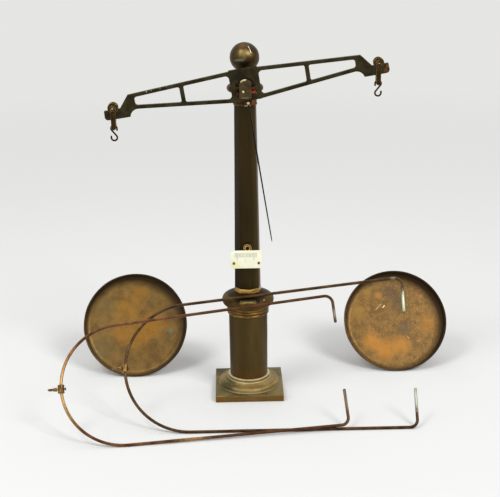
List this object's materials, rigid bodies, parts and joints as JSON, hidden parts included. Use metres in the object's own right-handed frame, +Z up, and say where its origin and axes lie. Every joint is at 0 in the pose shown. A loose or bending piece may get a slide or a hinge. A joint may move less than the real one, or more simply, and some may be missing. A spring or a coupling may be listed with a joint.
{
  "type": "apothecary scale",
  "caption": "Column balance scale with an openwork beam on a knife edge, a long needle, stirrups with S hooks, wire bows leaning on the collar and loose shallow pans.",
  "frame": {"origin": "centre of the base plate's underside", "axes": "+X to the right along the level beam, +Y to the back, +Z up"},
  "size_m": [0.6083, 0.3353, 0.5336],
  "materials": {
    "aged_brass_plate": "worn and dull, golden along the edges",
    "aged_brass_turned": "worn, glossy on the rounded edges",
    "brown_brass": "brown patina, semi-gloss",
    "red_brass": "orange-brown patina, semi-gloss",
    "bright_brass": "rubbed bright",
    "bracket_brass": "satin",
    "ball_brass": "glossy with a light patina",
    "aged_brass_dark": "dark patina, semi-gloss",
    "beam_brass": "dark brown patina, semi-gloss",
    "hook_copper": "rubbed, semi-gloss",
    "bow_wire_front": "copper-brown patina, semi-gloss",
    "bow_wire_rear": "copper-brown patina, dull",
    "pan_brass": "corroded and scratched, satin",
    "steel": "ground",
    "dark_steel": "blackened",
    "white_plate": "smooth and slightly glossy",
    "bearing_stone": "polished"
  },
  "bodies": {
    "stand": {"base_plate": "aged_brass_plate", "base_moulding": "aged_brass_turned", "lower_column": "brown_brass", "column_astragal": "aged_brass_turned", "collar_flange": "aged_brass_turned", "collar_fillet": "bright_brass", "upper_column": "brown_brass", "capital_ring": "red_brass", "ball_finial": "ball_brass", "tie_rod": "steel", "bearing_arm": "red_brass", "centre_bearing": "bearing_stone", "front_cheek": "aged_brass_dark", "cheek_screws": "bright_brass", "index_bracket": "bracket_brass", "index_bracket_screw": "dark_steel", "index_plate": "white_plate", "index_plate_screws": "dark_steel"},
    "beam": {"beam": "beam_brass", "centre_knife": "steel", "end_knives": "steel", "needle_holder": "aged_brass_dark", "needle_screw": "bright_brass", "needle": "dark_steel"},
    "stirrup_left": {"stirrup_left": "aged_brass_dark", "stirrup_bearings_left": "bright_brass", "stirrup_pin_left": "bright_brass"},
    "stirrup_right": {"stirrup_right": "aged_brass_dark", "stirrup_bearings_right": "bright_brass", "stirrup_pin_right": "bright_brass"},
    "hook_left": {"hook_left": "hook_copper"},
    "hook_right": {"hook_right": "hook_copper"},
    "bow_front": {"bow_front": "bow_wire_front", "bow_front_block": "aged_brass_dark"},
    "bow_front_swivel": {"bow_front_eye": "aged_brass_dark"},
    "bow_rear": {"bow_rear": "bow_wire_rear", "bow_rear_block": "aged_brass_dark"},
    "bow_rear_swivel": {"bow_rear_eye": "aged_brass_dark"},
    "pan_left": {"pan_left": "pan_brass", "pan_left_sockets": "aged_brass_dark"},
    "pan_right": {"pan_right": "pan_brass", "pan_right_sockets": "aged_brass_dark"}
  },
  "joints": [
    {"name": "beam_tilt", "type": "hinge", "parent": "stand", "child": "beam", "pos_m": [0, -0.033, 0.479], "axis": [0, 1, 0], "range_deg": [0, 17.6]},
    {"name": "stirrup_left_swing", "type": "hinge", "parent": "beam", "child": "stirrup_left", "pos_m": [-0.18579, -0.033, 0.45024], "axis": [0, 1, 0], "range_deg": [-30, 12]},
    {"name": "stirrup_right_swing", "type": "hinge", "parent": "beam", "child": "stirrup_right", "pos_m": [0.18579, -0.033, 0.50776], "axis": [0, 1, 0], "range_deg": [-30, 12]},
    {"name": "hook_left_swing", "type": "hinge", "parent": "stirrup_left", "child": "hook_left", "pos_m": [-0.18579, -0.033, 0.42224], "axis": [0, 1, 0], "range_deg": [-28, 28]},
    {"name": "hook_right_swing", "type": "hinge", "parent": "stirrup_right", "child": "hook_right", "pos_m": [0.18579, -0.033, 0.47976], "axis": [0, 1, 0], "range_deg": [-28, 28]},
    {"name": "bow_front_draw", "type": "slide", "parent": "stand", "child": "bow_front", "axis": [0, -1, 0], "range_m": [0, 0.06]},
    {"name": "bow_front_swivel_turn", "type": "hinge", "parent": "bow_front", "child": "bow_front_swivel", "pos_m": [-0.26887, -0.13888, 0.06879], "axis": [-0.9927, -0.1198, -0.0164], "continuous": true},
    {"name": "bow_rear_draw", "type": "slide", "parent": "stand", "child": "bow_rear", "axis": [-1, 0, 0], "range_m": [0, 0.04]},
    {"name": "bow_rear_swivel_turn", "type": "hinge", "parent": "bow_rear", "child": "bow_rear_swivel", "pos_m": [-0.1815, -0.09122, 0.07752], "axis": [-1, 0, 0], "continuous": true},
    {"name": "pan_left_lift", "type": "slide", "parent": "stand", "child": "pan_left", "axis": [0, 0.5, 0.866], "range_m": [0, 0.05]},
    {"name": "pan_right_lift", "type": "slide", "parent": "stand", "child": "pan_right", "axis": [0, 0.5878, 0.809], "range_m": [0, 0.05]}
  ]
}
